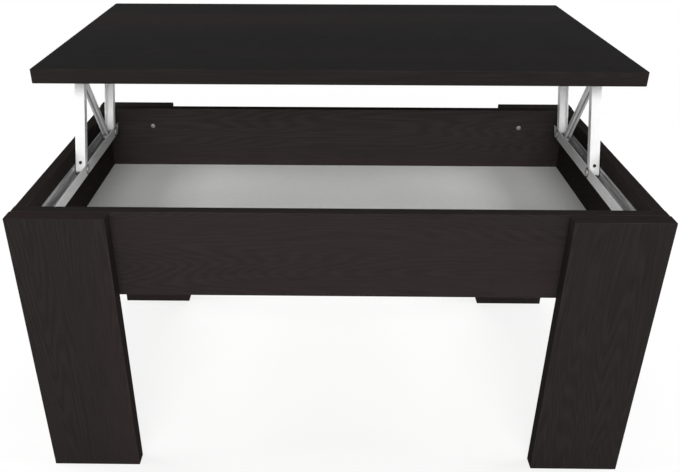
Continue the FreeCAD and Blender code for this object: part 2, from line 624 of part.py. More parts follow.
def make_stay_channel():
    """Lower half of a stay: a slotted channel, its web to the front, swinging on the base rail's lug."""
    body = new_body("right_stay_channel")
    outline = new_sketch(body, "outline", "YZ_Plane")
    tongue(outline, "Places.channel_length", "Sizes.stay_depth / 2")
    pad(body, "blank", outline, "Places.stay_width", both=True)
    inner = ("-Places.stay_inner / 2", "Places.stay_inner / 2")
    hollow = new_sketch(body, "hollow_outline", "XY_Plane", "Sizes.stay_depth / 2 - Sizes.stay_gauge")
    rectangle(hollow, *inner, "-Sizes.stay_depth", "Places.channel_length + Sizes.stay_depth")
    cut(body, "hollow", hollow)
    heel = new_sketch(body, "heel_outline", "XY_Plane")
    rectangle(heel, *inner, "-Sizes.stay_depth", "Sizes.stay_heel")
    cut(body, "heel", heel, reverse=True)
    slot = new_sketch(body, "slot_outline", "XY_Plane")
    round_ended(slot, "Places.slot_start", "Places.slot_end", "Places.slot_radius", upright=True)
    cut(body, "slot", slot, reverse=True)
    drill(body, "pin_hole", "YZ_Plane", "0", [("0", "0")],
          "Sizes.stay_pin_diameter + 2 * Sizes.pin_play", both=True)
    place(body, "Places.rail_centre", "Places.stay_foot", "Places.pivot_level", turn="Places.stay_angle")
    both_sides(body, "stay_channel")


def make_stay_bar():
    """Upper half of a stay: a bar with an eye on the front top pin, sliding in the channel."""
    body = new_body("right_stay_bar")
    outline = new_sketch(body, "outline", "YZ_Plane")
    tongue(outline, "Places.bar_length", "Places.bar_depth / 2", way=-1)
    pad(body, "blank", outline, "Places.bar_width", both=True)
    eye = new_sketch(body, "eye_outline", "YZ_Plane")
    disc(eye, "0", "0", "Sizes.eye_diameter")
    pad(body, "eye", eye, "Places.arm_inner - 2 * Sizes.eye_play", both=True)
    drill(body, "pin_hole", "YZ_Plane", "0", [("0", "0")],
          "Sizes.pin_diameter + 2 * Sizes.pin_play", both=True)
    drill(body, "stud_hole", "XY_Plane", "0", [("0", "-Places.stud_reach")],
          "Sizes.stud_diameter + 2 * Sizes.seat_play", both=True)
    place(body, "Places.rail_centre", "Places.front_top_pivot", "Places.top_pivot_level",
          turn="Places.stay_angle")
    both_sides(body, "stay_bar")


def make_guide_studs():
    """Headed studs that keep each bar in its channel's slot."""
    stud = new_body("stay_guide_stud")
    grip = "(Sizes.stay_depth / 2 + Sizes.stud_play)"
    shank = new_sketch(stud, "shank_outline", "XY_Plane", "-Places.bar_depth / 2")
    disc(shank, "0", "0", "Sizes.stud_diameter")
    pad(stud, "shank", shank, f"Places.bar_depth / 2 + {grip}")
    head = new_sketch(stud, "head_outline", "XY_Plane", grip)
    disc(head, "0", "0", "Sizes.stud_head_diameter")
    pad(stud, "head", head, "Sizes.stud_head_height")
    place(stud, "Places.rail_centre",
          "Places.front_top_pivot - Places.stud_reach * cos(Places.stay_angle * 1 deg)",
          "Places.top_pivot_level - Places.stud_reach * sin(Places.stay_angle * 1 deg)",
          turn="Places.stay_angle")
    group("stay_guide_studs", [stud])


def make_stay_feet():
    """Lugs that stand on the base rails, and the pins that the stays swing on."""
    lug = new_body("right_stay_lug")
    outline = new_sketch(lug, "outline", "YZ_Plane")
    tongue(outline, "Places.lug_height", "Sizes.stay_depth / 2", way=-1)
    pad(lug, "post", outline, "Places.stay_inner - 2 * Sizes.lug_play", both=True)
    foot = new_sketch(lug, "foot_outline", "YZ_Plane")
    rectangle(foot, "-Places.lug_height", "Sizes.lug_foot_height - Places.lug_height",
              "-Sizes.lug_foot_length / 2", "Sizes.lug_foot_length / 2")
    pad(lug, "foot", foot, "Sizes.lug_foot_width", both=True)
    drill(lug, "pin_hole", "YZ_Plane", "0", [("0", "0")],
          "Sizes.stay_pin_diameter + 2 * Sizes.seat_play", both=True)
    place(lug, "Places.rail_centre", "Places.stay_foot", "Places.pivot_level", turn="90")
    both_sides(lug, "stay_lug")

    pin = new_body("stay_foot_pin")
    grip = "(Places.stay_width + 2 * Sizes.stay_pin_gap)"
    shank = new_sketch(pin, "shank_outline", "YZ_Plane")
    disc(shank, "0", "0", "Sizes.stay_pin_diameter")
    pad(pin, "shank", shank, grip, both=True)
    for end, sign in (("inner", "-"), ("outer", "")):
        head = new_sketch(pin, end + "_head_outline", "YZ_Plane", f"{sign}{grip} / 2")
        disc(head, "0", "0", "Sizes.stay_pin_head_diameter")
        pad(pin, end + "_head", head, "Sizes.stay_pin_head_height", reverse=end == "inner")
    place(pin, "Places.rail_centre", "Places.stay_foot", "Places.pivot_level")
    group("stay_foot_pins", [pin])


# Fasteners
def screw(name, diameter, length, head_diameter, head_height):
    """A screw pointing along +Z, its head's seat at the origin."""
    body = new_body(name)
    shank = new_sketch(body, "shank_outline", "XY_Plane")
    disc(shank, "0", "0", diameter)
    pad(body, "shank", shank, length)
    head = new_sketch(body, "head_outline", "XY_Plane")
    disc(head, "0", "0", head_diameter)
    pad(body, "head", head, head_height, reverse=True)
    face = -value(head_height)
    bevel_edges(body, "Sizes.screw_head_bevel", lambda edge: lies_at(edge, "z", face))
    return body


def dowel(name, length):
    """A bevelled wooden peg along Z, about the origin."""
    body = new_body(name)
    outline = new_sketch(body, "outline", "XY_Plane")
    disc(outline, "0", "0", "Sizes.dowel_diameter")
    pad(body, "peg", outline, length, both=True)
    bevel_edges(body, "Sizes.dowel_bevel", lambda edge: isinstance(edge.Curve, Part.Circle))
    return body


def make_leg_fasteners():
    """Screws through the aprons into the legs, their heads inside the box, and dowels under them."""
    screws, dowels = [], []
    for x in ("Places.first_leg_screw", "Places.second_leg_screw"):
        piece = screw("leg_screw", "Sizes.leg_screw_diameter", "Sizes.leg_screw_length",
                      "Sizes.leg_screw_head", "Sizes.screw_head_height")
        place(piece, x, "-Places.apron_inner", "Places.leg_screw_level", turn="90")
        screws.append(piece)
        peg = dowel("leg_dowel", "2 * (Sizes.leg_dowel_depth - Sizes.dowel_bevel)")
        place(peg, x, "-Places.apron_outer", "Places.leg_dowel_level", turn="90")
        dowels.append(peg)
    group("leg_screws", screws, front_and_back=True)
    group("leg_dowels", dowels, front_and_back=True)


def make_corner_fasteners():
    """Screws and dowels from the aprons into the side panels' ends, hidden by the legs."""
    screws = []
    for z in ("Places.upper_corner_screw", "Places.lower_corner_screw"):
        piece = screw("corner_screw", "Sizes.corner_screw_diameter", "Sizes.corner_screw_length",
                      "Sizes.corner_screw_head", "Sizes.corner_head_height")
        place(piece, "Places.side_middle", "Places.apron_outer - Sizes.corner_head_height", z, turn="90")
        screws.append(piece)
    group("corner_screws", screws, front_and_back=True)
    length = "(Sizes.corner_dowel_depth + Sizes.corner_dowel_tail - 2 * Sizes.dowel_bevel)"
    peg = dowel("corner_dowel", length)
    middle = "Places.apron_inner + (Sizes.corner_dowel_depth - Sizes.corner_dowel_tail) / 2"
    place(peg, "Places.side_middle", middle, "Places.corner_dowel_level", turn="90")
    group("corner_dowels", [peg], front_and_back=True)


def rail_screw(name):
    return screw(name, "Sizes.rail_screw_diameter", "Sizes.rail_screw_length",
                 "Sizes.rail_screw_head", "Sizes.screw_head_height")


def make_rail_screws():
    """Screws that hold the base rails to the side panels and the top rails to the table top."""
    base_screws, top_screws = [], []
    for y in RAIL_SCREWS:
        piece = rail_screw("base_rail_screw")
        place(piece, "Places.rail_screw_seat", y, "Places.rail_screw_level", turn="90", about=(0, 1, 0))
        base_screws.append(piece)
    for y in TOP_SCREWS:
        piece = rail_screw("top_rail_screw")
        place(piece, "Places.rail_centre", f"Places.top_shift + {y}", "Places.top_screw_seat")
        top_screws.append(piece)
    group("base_rail_screws", base_screws)
    group("top_rail_screws", top_screws)


RAIL_SCREWS = ("-Places.rail_screw_front", "Places.rail_screw_middle", "Places.rail_screw_rear")
TOP_SCREWS = ("-Places.top_screw_end", "-Sizes.top_screw_middle",
              "Sizes.top_screw_middle", "Places.top_screw_end")

make_legs()
make_aprons()
make_side_panels()
make_bottom_panel()
make_table_top()
make_rails()
make_arm("front_arm", "Places.front_pivot", web_in_front=True)
make_arm("rear_arm", "Places.rear_pivot", web_in_front=False)
make_pins()
make_stay_channel()
make_stay_bar()
make_guide_studs()
make_stay_feet()
make_leg_fasteners()
make_corner_fasteners()
make_rail_screws()
doc.recompute()

for thing in doc.Objects:
    if {"Invalid", "Error"} & set(thing.State):
        raise RuntimeError(f"{thing.Label} failed: {thing.State}")
for node in nodes:
    if node.Shape.isNull() or not node.Shape.isValid():
        raise RuntimeError(f"{node.Label} has no valid shape")
for node in nodes:
    node.Shape.exportStep(f"parts/{node.Label}.step")
    print(node.Label, len(node.Shape.Solids), "solids", round(node.Shape.Volume), "mm3")
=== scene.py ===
# %% [markdown]
# # Dressing a lift-top coffee table
# The table is a storage box on four slab legs. Its top rises and moves back on two pairs of white arms.
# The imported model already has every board, rail and arm in its place, so this lesson adds what a camera sees:
# the dark wood-print boards, the paint and zinc of the fittings, and screws with real heads.

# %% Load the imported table
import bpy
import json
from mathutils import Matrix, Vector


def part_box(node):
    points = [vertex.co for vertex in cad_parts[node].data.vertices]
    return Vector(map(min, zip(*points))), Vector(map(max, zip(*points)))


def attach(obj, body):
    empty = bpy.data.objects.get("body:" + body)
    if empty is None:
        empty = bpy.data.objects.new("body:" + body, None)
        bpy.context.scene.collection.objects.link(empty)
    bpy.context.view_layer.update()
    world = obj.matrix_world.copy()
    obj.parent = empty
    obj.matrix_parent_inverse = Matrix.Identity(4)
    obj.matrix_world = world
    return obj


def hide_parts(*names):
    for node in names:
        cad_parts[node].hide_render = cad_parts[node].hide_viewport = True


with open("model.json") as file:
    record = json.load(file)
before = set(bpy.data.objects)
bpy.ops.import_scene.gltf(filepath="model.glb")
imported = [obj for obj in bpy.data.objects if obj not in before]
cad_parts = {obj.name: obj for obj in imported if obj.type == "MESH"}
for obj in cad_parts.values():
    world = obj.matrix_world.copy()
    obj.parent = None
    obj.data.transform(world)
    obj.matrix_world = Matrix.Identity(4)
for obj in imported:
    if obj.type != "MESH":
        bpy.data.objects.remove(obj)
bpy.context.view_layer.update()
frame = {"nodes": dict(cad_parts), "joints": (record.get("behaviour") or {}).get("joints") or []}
import bpy
import bmesh
import json
import math
from collections import namedtuple
from mathutils import Matrix, Vector

pieces = frame["nodes"]

# %% [markdown]
# ## The camera
# The picture was taken from close in front of the table and a little above it.
# A camera placed by eye would leave every edge a little off, so the lens and the place were solved
# from the straight edges of the boards, and they are written here as found, in metres and degrees.
# The small shift only says that the picture was cropped a little off its middle.

# %% Camera
PICTURE_WIDTH, PICTURE_HEIGHT = 680, 472
FOCAL_PIXELS = 742.7
MIDDLE_PIXEL = (317.39, 234.49)
SENSOR_MILLIMETRES = 36.0
NEAREST_SEEN = 0.01
CAMERA_PLACE = (-0.0176, -1.10026, 0.85945)
LOOK_DOWN, LOOK_LEFT, TILT = 27.815, 0.664, 0.112


def turn_by(degrees, axis):
    """A rotation about one axis."""
    return Matrix.Rotation(math.radians(degrees), 4, axis)


lens = bpy.data.cameras.new("picture_lens")
lens.sensor_width = SENSOR_MILLIMETRES
lens.lens = FOCAL_PIXELS / PICTURE_WIDTH * SENSOR_MILLIMETRES
lens.shift_x = (PICTURE_WIDTH / 2 - MIDDLE_PIXEL[0]) / PICTURE_WIDTH
lens.shift_y = (MIDDLE_PIXEL[1] - PICTURE_HEIGHT / 2) / PICTURE_WIDTH
lens.clip_start = NEAREST_SEEN
camera = bpy.data.objects.new("picture_camera", lens)
aim = turn_by(LOOK_LEFT, "Z") @ turn_by(90 - LOOK_DOWN, "X") @ turn_by(TILT, "Z")
camera.matrix_world = Matrix.Translation(CAMERA_PLACE) @ aim
bpy.context.scene.collection.objects.link(camera)
bpy.context.scene.camera = camera
print("lens", round(lens.lens, 2), "mm, shift", round(lens.shift_x, 4), round(lens.shift_y, 4))

# %% [markdown]
# ## A small toolbox for node trees
# Materials, the world and node groups are all trees of nodes. Wiring each node by hand makes a long script,
# so a few short functions each place one node, feed it and hand back what comes out of it.
# What they are given is either a plain value, which goes on the socket, or another node's output.

# %% Nodes that calculate
GIVES_A_NUMBER = ("LENGTH", "DOT_PRODUCT")


def feed(tree, socket, given):
    """Gives a socket a plain value, or links another node's output to it."""
    if isinstance(given, bpy.types.NodeSocket):
        tree.links.new(given, socket)
    else:
        socket.default_value = given


def calculate(tree, operation, *numbers):
    """One Math node."""
    node = tree.nodes.new("ShaderNodeMath")
    node.operation = operation
    for socket, given in zip(node.inputs, numbers):
        feed(tree, socket, given)
    return node.outputs[0]


def calculate_vector(tree, operation, *vectors):
    """One Vector Math node."""
    node = tree.nodes.new("ShaderNodeVectorMath")
    node.operation = operation
    for socket, given in zip(node.inputs, vectors):
        feed(tree, socket, given)
    return node.outputs["Value" if operation in GIVES_A_NUMBER else "Vector"]


print("calculating tools ready")

# %% Nodes for patterns and ranges
def noise(tree, vector, scale, detail, roughness=0.5):
    """One Noise Texture node."""
    node = tree.nodes.new("ShaderNodeTexNoise")
    for label, given in (("Vector", vector), ("Scale", scale), ("Detail", detail), ("Roughness", roughness)):
        feed(tree, node.inputs[label], given)
    return node.outputs["Fac"]


def spread(tree, given, low, high, to_low=0.0, to_high=1.0):
    """Spreads a value's useful range from to_low to to_high, with soft ends."""
    node = tree.nodes.new("ShaderNodeMapRange")
    node.interpolation_type = "SMOOTHSTEP"
    feed(tree, node.inputs["Value"], given)
    for label, number in (("From Min", low), ("From Max", high), ("To Min", to_low), ("To Max", to_high)):
        feed(tree, node.inputs[label], number)
    return node.outputs["Result"]


print("pattern tools ready")

# %% Nodes that mix
# The Mix node has sockets for every kind of data; these are the two ends and the result of each kind.
MIX_SOCKETS = {"RGBA": (6, 7, 2), "VECTOR": (4, 5, 1)}


def mix_between(tree, kind, share, first, second):
    """One Mix node."""
    node = tree.nodes.new("ShaderNodeMix")
    node.data_type = kind
    first_end, second_end, result = MIX_SOCKETS[kind]
    feed(tree, node.inputs["Factor"], share)
    feed(tree, node.inputs[first_end], first)
    feed(tree, node.inputs[second_end], second)
    return node.outputs[result]


def colour_between(tree, share, first, second):
    """A mix of two colours, each an output or three numbers."""
    ends = [(*end, 1) if isinstance(end, tuple) else end for end in (first, second)]
    return mix_between(tree, "RGBA", share, *ends)


def vector_between(tree, share, first, second):
    """A mix of two triples of numbers."""
    return mix_between(tree, "VECTOR", share, first, second)


def shader_between(tree, share, first, second):
    """One Mix Shader node."""
    node = tree.nodes.new("ShaderNodeMixShader")
    for socket, given in zip(node.inputs, (share, first, second)):
        feed(tree, socket, given)
    return node.outputs[0]


def grey(tone):
    """Three equal numbers, for a grey or for a plain change of tone."""
    return (tone, tone, tone)


print("mixing tools ready")

# %% [markdown]
# ## The studio
# A white studio has a pale floor, white all round, and large soft lamps.
# White could come from very strong light, but that would bleach the table. Here it is only what the camera
# and shiny or clear things see, by way of the Light Path node, while the lamps and a little light from the
# room stay at a plain level, at which a colour comes out about as it is written.
# The floor keeps the table's shadow and fades to pure white further out, so that its edge doesn't show.

# %% White surroundings
ROOM_LIGHT = 0.20
WHITE = (1, 1, 1, 1)


def white_to_the_eye(tree):
    """A value of 1 where the ray comes from the camera or off something shiny or clear."""
    path = tree.nodes.new("ShaderNodeLightPath").outputs
    shiny = calculate(tree, "MAXIMUM", path["Is Camera Ray"], path["Is Glossy Ray"])
    return calculate(tree, "MAXIMUM", shiny, path["Is Transmission Ray"])


def white_world(room_light):
    """A world that looks white and gives everything else only the room's light."""
    world = bpy.data.worlds.new("white_studio")
    world.use_nodes = True
    tree = world.node_tree
    tree.nodes.clear()
    seen = tree.nodes.new("ShaderNodeBackground")
    seen.inputs["Color"].default_value = WHITE
    lit = tree.nodes.new("ShaderNodeBackground")
    lit.inputs["Color"].default_value = WHITE
    lit.inputs["Strength"].default_value = room_light
    chosen = shader_between(tree, white_to_the_eye(tree), lit.outputs[0], seen.outputs[0])
    tree.links.new(chosen, tree.nodes.new("ShaderNodeOutputWorld").inputs["Surface"])
    bpy.context.scene.world = world


bpy.context.scene.view_settings.view_transform = "Standard"
white_world(ROOM_LIGHT)
print("world:", bpy.context.scene.world.name)

# %% Pale floor
FLOOR_SIZE = 12.0
FLOOR_PAINT = (0.88, 0.88, 0.88, 1)
WHITE_SHARE_NEARBY = 0.75
FADE_FROM, FADE_TO = 0.6, 2.4


def floor_finish():
    """Pale paint that shows a soft shadow near the table and turns pure white further out."""
    material = bpy.data.materials.new("studio_floor")
    material.use_nodes = True
    tree = material.node_tree
    tree.nodes.clear()
    paint = tree.nodes.new("ShaderNodeBsdfDiffuse")
    paint.inputs["Color"].default_value = FLOOR_PAINT
    glow = tree.nodes.new("ShaderNodeEmission")
    glow.inputs["Color"].default_value = WHITE
    place = tree.nodes.new("ShaderNodeTexCoord").outputs["Object"]
    whiteness = spread(tree, calculate_vector(tree, "LENGTH", place), FADE_FROM, FADE_TO, WHITE_SHARE_NEARBY)
    share = calculate(tree, "MULTIPLY", whiteness, white_to_the_eye(tree))
    chosen = shader_between(tree, share, paint.outputs[0], glow.outputs[0])
    tree.links.new(chosen, tree.nodes.new("ShaderNodeOutputMaterial").inputs["Surface"])
    return material


half = FLOOR_SIZE / 2
floor_mesh = bpy.data.meshes.new("studio_floor")
floor_corners = [(-half, -half, 0), (half, -half, 0), (half, half, 0), (-half, half, 0)]
floor_mesh.from_pydata(floor_corners, [], [(0, 1, 2, 3)])
floor_mesh.materials.append(floor_finish())
floor = bpy.data.objects.new("studio_floor", floor_mesh)
bpy.context.scene.collection.objects.link(floor)
print("floor:", FLOOR_SIZE, "m across")

# %% Soft lamps
Lamp = namedtuple("Lamp", "place width height watts")
MIDDLE_OF_TABLE = (0.0, 0.05, 0.38)
LAMPS = {
    "low_front_softbox": Lamp((-0.2, -3.2, 1.2), 2.6, 1.6, 37),
    "high_front_softbox": Lamp((0.0, -2.7, 1.75), 2.2, 0.8, 54),
    "left_softbox": Lamp((-2.45, 0.1, 1.6), 1.4, 1.3, 46),
    "right_softbox": Lamp((2.45, 0.1, 1.6), 1.4, 1.3, 46),
    "rear_softbox": Lamp((0.0, 2.2, 2.3), 2.2, 1.2, 36),
}


def soft_lamp(name, lamp, aim):
    """A rectangular lamp that faces a point."""
    light = bpy.data.lights.new(name, "AREA")
    light.shape = "RECTANGLE"
    light.size = lamp.width
    light.size_y = lamp.height
    light.energy = lamp.watts
    holder = bpy.data.objects.new(name, light)
    holder.location = lamp.place
    holder.rotation_euler = (Vector(aim) - Vector(lamp.place)).to_track_quat("-Z", "Y").to_euler()
    bpy.context.scene.collection.objects.link(holder)


for name, lamp in LAMPS.items():
    soft_lamp(name, lamp, MIDDLE_OF_TABLE)
print("lamps:", list(LAMPS))

# %% [markdown]
# ## Effects that several finishes share
# A shader node group is like a jig: built once, then used with its own settings in each material.
# The grain group stretches noise along a board, as wood-print paper does.
# Rolled metal has streaks too, so the zinc uses the same group.
# The edge group measures how near a point is to a board's edges, where the print wears and where a painted
# highlight stands in for the light that catches an edge.
# The handling group gives the smears and dust of use.
# All of them work in object coordinates, which keep a pattern on its piece when the piece moves.

# %% Start a node group
def new_group(name, inputs, outputs):
    """An empty node group with named sockets, and the two nodes that stand for its inputs and outputs."""
    group = bpy.data.node_groups.new(name, "ShaderNodeTree")
    for label, kind, start in inputs:
        socket = group.interface.new_socket(name=label, in_out="INPUT", socket_type=kind)
        socket.default_value = start
    for label, kind in outputs:
        group.interface.new_socket(name=label, in_out="OUTPUT", socket_type=kind)
    return group, group.nodes.new("NodeGroupInput"), group.nodes.new("NodeGroupOutput")


print("group tool ready")

# %% Wood-print grain
DRIFT_SCALE, DRIFT_DETAIL = 5.0, 1.0
HILL_SCALE, HILL_DETAIL, HILL_ROUGHNESS = 8.0, 2.0, 0.4
RING_RADIANS, RING_FRAY = 620.0, 7.0
STREAK_SCALE, STREAK_DETAIL, STREAK_ROUGHNESS = 420.0, 6.0, 0.68
PORE_SCALE, PORE_DETAIL, PORE_RANGE = 900.0, 1.0, (0.58, 0.72)
SAW_SPACING, SAW_WANDER = 0.0036, 40.0
SAW_PATCH_SCALE, SAW_PATCH_DETAIL, SAW_PATCH_RANGE = 14.0, 2.0, (0.55, 0.68)
BEND = grey(0.05)


def make_grain_group():
    """Streaks along one direction, and rings, which are the contour lines of a smooth hilly noise."""
    tree, given, result = new_group(
        "wood_print_grain",
        [("Position", "NodeSocketVector", (0, 0, 0)), ("Stretch", "NodeSocketVector", (1, 1, 1)),
         ("Shift", "NodeSocketVector", (0, 0, 0))],
        [("Drift", "NodeSocketFloat"), ("Ring", "NodeSocketFloat"), ("Streak", "NodeSocketFloat"),
         ("Pore", "NodeSocketFloat"), ("Saw", "NodeSocketFloat")])
    moved = calculate_vector(tree, "ADD", given.outputs["Position"], given.outputs["Shift"])
    straight = calculate_vector(tree, "MULTIPLY", moved, given.outputs["Stretch"])
    bent = calculate_vector(tree, "ADD", straight, calculate_vector(tree, "MULTIPLY", moved, BEND))
    hills = noise(tree, bent, HILL_SCALE, HILL_DETAIL, HILL_ROUGHNESS)
    streak = noise(tree, straight, STREAK_SCALE, STREAK_DETAIL, STREAK_ROUGHNESS)
    frayed = calculate(tree, "MULTIPLY", streak, RING_FRAY)
    ring = calculate(tree, "SINE", calculate(tree, "MULTIPLY_ADD", hills, RING_RADIANS, frayed))
    pore = noise(tree, straight, PORE_SCALE, PORE_DETAIL)
    tree.links.new(noise(tree, bent, DRIFT_SCALE, DRIFT_DETAIL), result.inputs["Drift"])
    tree.links.new(spread(tree, ring, -1.0, 1.0), result.inputs["Ring"])
    tree.links.new(streak, result.inputs["Streak"])
    tree.links.new(spread(tree, pore, *PORE_RANGE), result.inputs["Pore"])
    tree.links.new(saw_marks(tree, moved, given.outputs["Stretch"], hills), result.inputs["Saw"])
    return tree


def saw_marks(tree, moved, stretch, hills):
    """Fine ticks across the grain, in a few patches, as a saw leaves them."""
    grain_way = calculate_vector(tree, "SUBTRACT", (1.0, 1.0, 1.0), stretch)
    along = calculate_vector(tree, "DOT_PRODUCT", moved, grain_way)
    evenly = calculate(tree, "MULTIPLY", along, math.tau / SAW_SPACING)
    tick = calculate(tree, "SINE", calculate(tree, "MULTIPLY_ADD", hills, SAW_WANDER, evenly))
    patch = spread(tree, noise(tree, moved, SAW_PATCH_SCALE, SAW_PATCH_DETAIL), *SAW_PATCH_RANGE)
    return calculate(tree, "MULTIPLY", spread(tree, tick, 0.0, 1.0), patch)


grain_group = make_grain_group()
print("group:", grain_group.name)

# %% Nearness to a board's edges
def make_edge_group():
    """A mask that is 1 on the edges of a box and fades over a width: the second nearest face decides."""
    tree, given, result = new_group(
        "board_edge",
        [("Position", "NodeSocketVector", (0, 0, 0)), ("Low", "NodeSocketVector", (0, 0, 0)),
         ("High", "NodeSocketVector", (1, 1, 1)), ("Width", "NodeSocketFloat", 0.002)],
        [("Edge", "NodeSocketFloat")])
    above = calculate_vector(tree, "SUBTRACT", given.outputs["Position"], given.outputs["Low"])
    below = calculate_vector(tree, "SUBTRACT", given.outputs["High"], given.outputs["Position"])
    parts = tree.nodes.new("ShaderNodeSeparateXYZ")
    tree.links.new(calculate_vector(tree, "MINIMUM", above, below), parts.inputs[0])
    x, y, z = parts.outputs
    lesser = calculate(tree, "MINIMUM", x, y)
    greater = calculate(tree, "MAXIMUM", x, y)
    second = calculate(tree, "MAXIMUM", lesser, calculate(tree, "MINIMUM", greater, z))
    tree.links.new(spread(tree, second, 0.0, given.outputs["Width"], 1.0, 0.0), result.inputs["Edge"])
    return tree


edge_group = make_edge_group()
print("group:", edge_group.name)

# %% Handling marks
SMEAR_SCALE, SMEAR_DETAIL, SMEAR_ROUGHNESS, SMEAR_RANGE = 9.0, 3.0, 0.6, (0.35, 0.7)
DUST_SCALE, DUST_DETAIL, DUST_RANGE = 650.0, 1.0, (0.72, 0.80)


def make_handling_group():
    """Faint smears and specks of dust that vary the gloss of a touched surface."""
    tree, given, result = new_group(
        "handling_marks", [("Position", "NodeSocketVector", (0, 0, 0)), ("Size", "NodeSocketFloat", 1.0)],
        [("Smear", "NodeSocketFloat"), ("Dust", "NodeSocketFloat")])
    sized = calculate_vector(tree, "MULTIPLY", given.outputs["Position"], given.outputs["Size"])
    smear = noise(tree, sized, SMEAR_SCALE, SMEAR_DETAIL, SMEAR_ROUGHNESS)
    dust = noise(tree, sized, DUST_SCALE, DUST_DETAIL)
    tree.links.new(spread(tree, smear, *SMEAR_RANGE), result.inputs["Smear"])
    tree.links.new(spread(tree, dust, *DUST_RANGE), result.inputs["Dust"])
    return tree


handling_group = make_handling_group()
print("group:", handling_group.name)

# %% [markdown]
# ## The dark boards
# The boards are chipboard in a very dark wood-print foil, with a matt face and thin bands on the edges.
# A picture of wood could be wrapped round each board, but it would blur close up.
# Noise that is stretched along the board stays sharp, and runs as the foil does:
# up the legs, along the walls and the top.
# One function makes the finish, and each board gives it its own grain direction and corners,
# and its own painted light: tones that make its faces and edges lighter or darker where the lamps light them
# less or more.

# %% Start a finish
def new_finish(name):
    """A new material with its tree, its shader and the place of a point in the piece's own coordinates."""
    material = bpy.data.materials.new(name)
    material.use_nodes = True
    tree = material.node_tree
    place = tree.nodes.new("ShaderNodeTexCoord").outputs["Object"]
    return material, tree, tree.nodes["Principled BSDF"], place


def use_group(tree, group, **settings):
    """Places a node group in a material with that material's own settings."""
    node = tree.nodes.new("ShaderNodeGroup")
    node.node_tree = group
    for label, given in settings.items():
        feed(tree, node.inputs[label], given)
    return node.outputs


def raise_surface(tree, shader, height, strength, distance):
    """One Bump node on the shader's Normal."""
    bump = tree.nodes.new("ShaderNodeBump")
    bump.inputs["Strength"].default_value = strength
    bump.inputs["Distance"].default_value = distance
    tree.links.new(height, bump.inputs["Height"])
    tree.links.new(bump.outputs[0], shader.inputs["Normal"])


def finish_piece(node, material):
    """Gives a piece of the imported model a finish."""
    piece = pieces[node]
    piece.data.materials.clear()
    piece.data.materials.append(material)


print("finishing tools ready")

# %% Which way a surface faces
AXIS = {"x": (1, 0, 0), "y": (0, 1, 0), "z": (0, 0, 1)}
TO_THE_FRONT, DOWNWARD = (0, -1, 0), (0, 0, -1)
FACING_RANGE = (0.5, 0.8)


def surface_normal(tree):
    """The direction that the surface faces."""
    return tree.nodes.new("ShaderNodeNewGeometry").outputs["Normal"]


def faces_way(tree, normal, way):
    """A mask that is 1 where the surface faces one way."""
    return spread(tree, calculate_vector(tree, "DOT_PRODUCT", normal, way), *FACING_RANGE)


def faces_axis(tree, normal, letter):
    """A mask that is 1 where the surface faces along an axis, either way."""
    toward = calculate_vector(tree, "DOT_PRODUCT", normal, AXIS[letter])
    return spread(tree, calculate(tree, "ABSOLUTE", toward), *FACING_RANGE)


print("facing masks ready")

# %% The print itself
GRAIN = {"x": (0.03, 1, 1), "y": (1, 0.03, 1), "z": (1, 1, 0.03)}
WENGE_DARK, WENGE_MIDDLE = (0.0175, 0.0148, 0.0146), (0.0255, 0.0210, 0.0204)
WENGE_RED, WENGE_WORN_HIGHLIGHT = (0.0320, 0.0212, 0.0215), (0.060, 0.050, 0.046)
FIBRE_RANGE = (0.32, 0.68)
FIBRE_SHARE, RING_SHARE = 0.5, 0.5
RED_RANGE, RED_SHARE = (0.45, 0.75), 0.6
PORE_SHARE, SAW_SHARE = 0.6, 0.4


def printed_wood(tree, place, stretch, shift):
    """The print's colour, its lines, its dark marks and its pores."""
    grain = use_group(tree, grain_group, Position=place, Stretch=stretch, Shift=shift)
    fibre = spread(tree, grain["Streak"], *FIBRE_RANGE)
    rings = calculate(tree, "MULTIPLY", grain["Ring"], RING_SHARE)
    line = calculate(tree, "MULTIPLY_ADD", fibre, FIBRE_SHARE, rings)
    ground = colour_between(tree, line, WENGE_DARK, WENGE_MIDDLE)
    redness = spread(tree, grain["Drift"], *RED_RANGE, 0.0, RED_SHARE)
    printed = colour_between(tree, redness, ground, WENGE_RED)
    pores = calculate(tree, "MULTIPLY", grain["Pore"], PORE_SHARE)
    dark_mark = calculate(tree, "MAXIMUM", pores, calculate(tree, "MULTIPLY", grain["Saw"], SAW_SHARE))
    return colour_between(tree, dark_mark, printed, WENGE_DARK), line, dark_mark, grain["Pore"]


print("print tones:", WENGE_DARK, "to", WENGE_MIDDLE)

# %% Dark wood-print finish
PLAIN = grey(1.0)
EDGE_WIDTH, EDGE_WEAR_AND_HIGHLIGHT = 0.0018, 0.25
BOARD_MARK_SIZE = 1.0
BOARD_ROUGHNESS, PORE_ROUGHNESS = (0.38, 0.42), 0.10
BOARD_SHEEN = 0.0003
LINE_RELIEF = 0.4
BOARD_BUMP = {"strength": 0.20, "distance": 0.0002}


def painted_light_tone(tree, normal, colour, board):
    """The print with painted light and shade: its own tone for a board's face, its edge bands and its inside,
    set by how well the lamps reach each.
    """
    # Painted light and shade: the print is made lighter or darker by how the lamps reach a face or an edge
    # band.
    tint = vector_between(tree, faces_axis(tree, normal, board.face), board.band_tint, board.face_tint)
    toned = calculate_vector(tree, "MULTIPLY", colour, tint)
    # Painted light on one inner face, which the lamps hardly reach.
    if board.inside:
        way, inside_painted_light = board.inside
        inside = vector_between(tree, faces_way(tree, normal, way), PLAIN, inside_painted_light)
        toned = calculate_vector(tree, "MULTIPLY", toned, inside)
    return toned


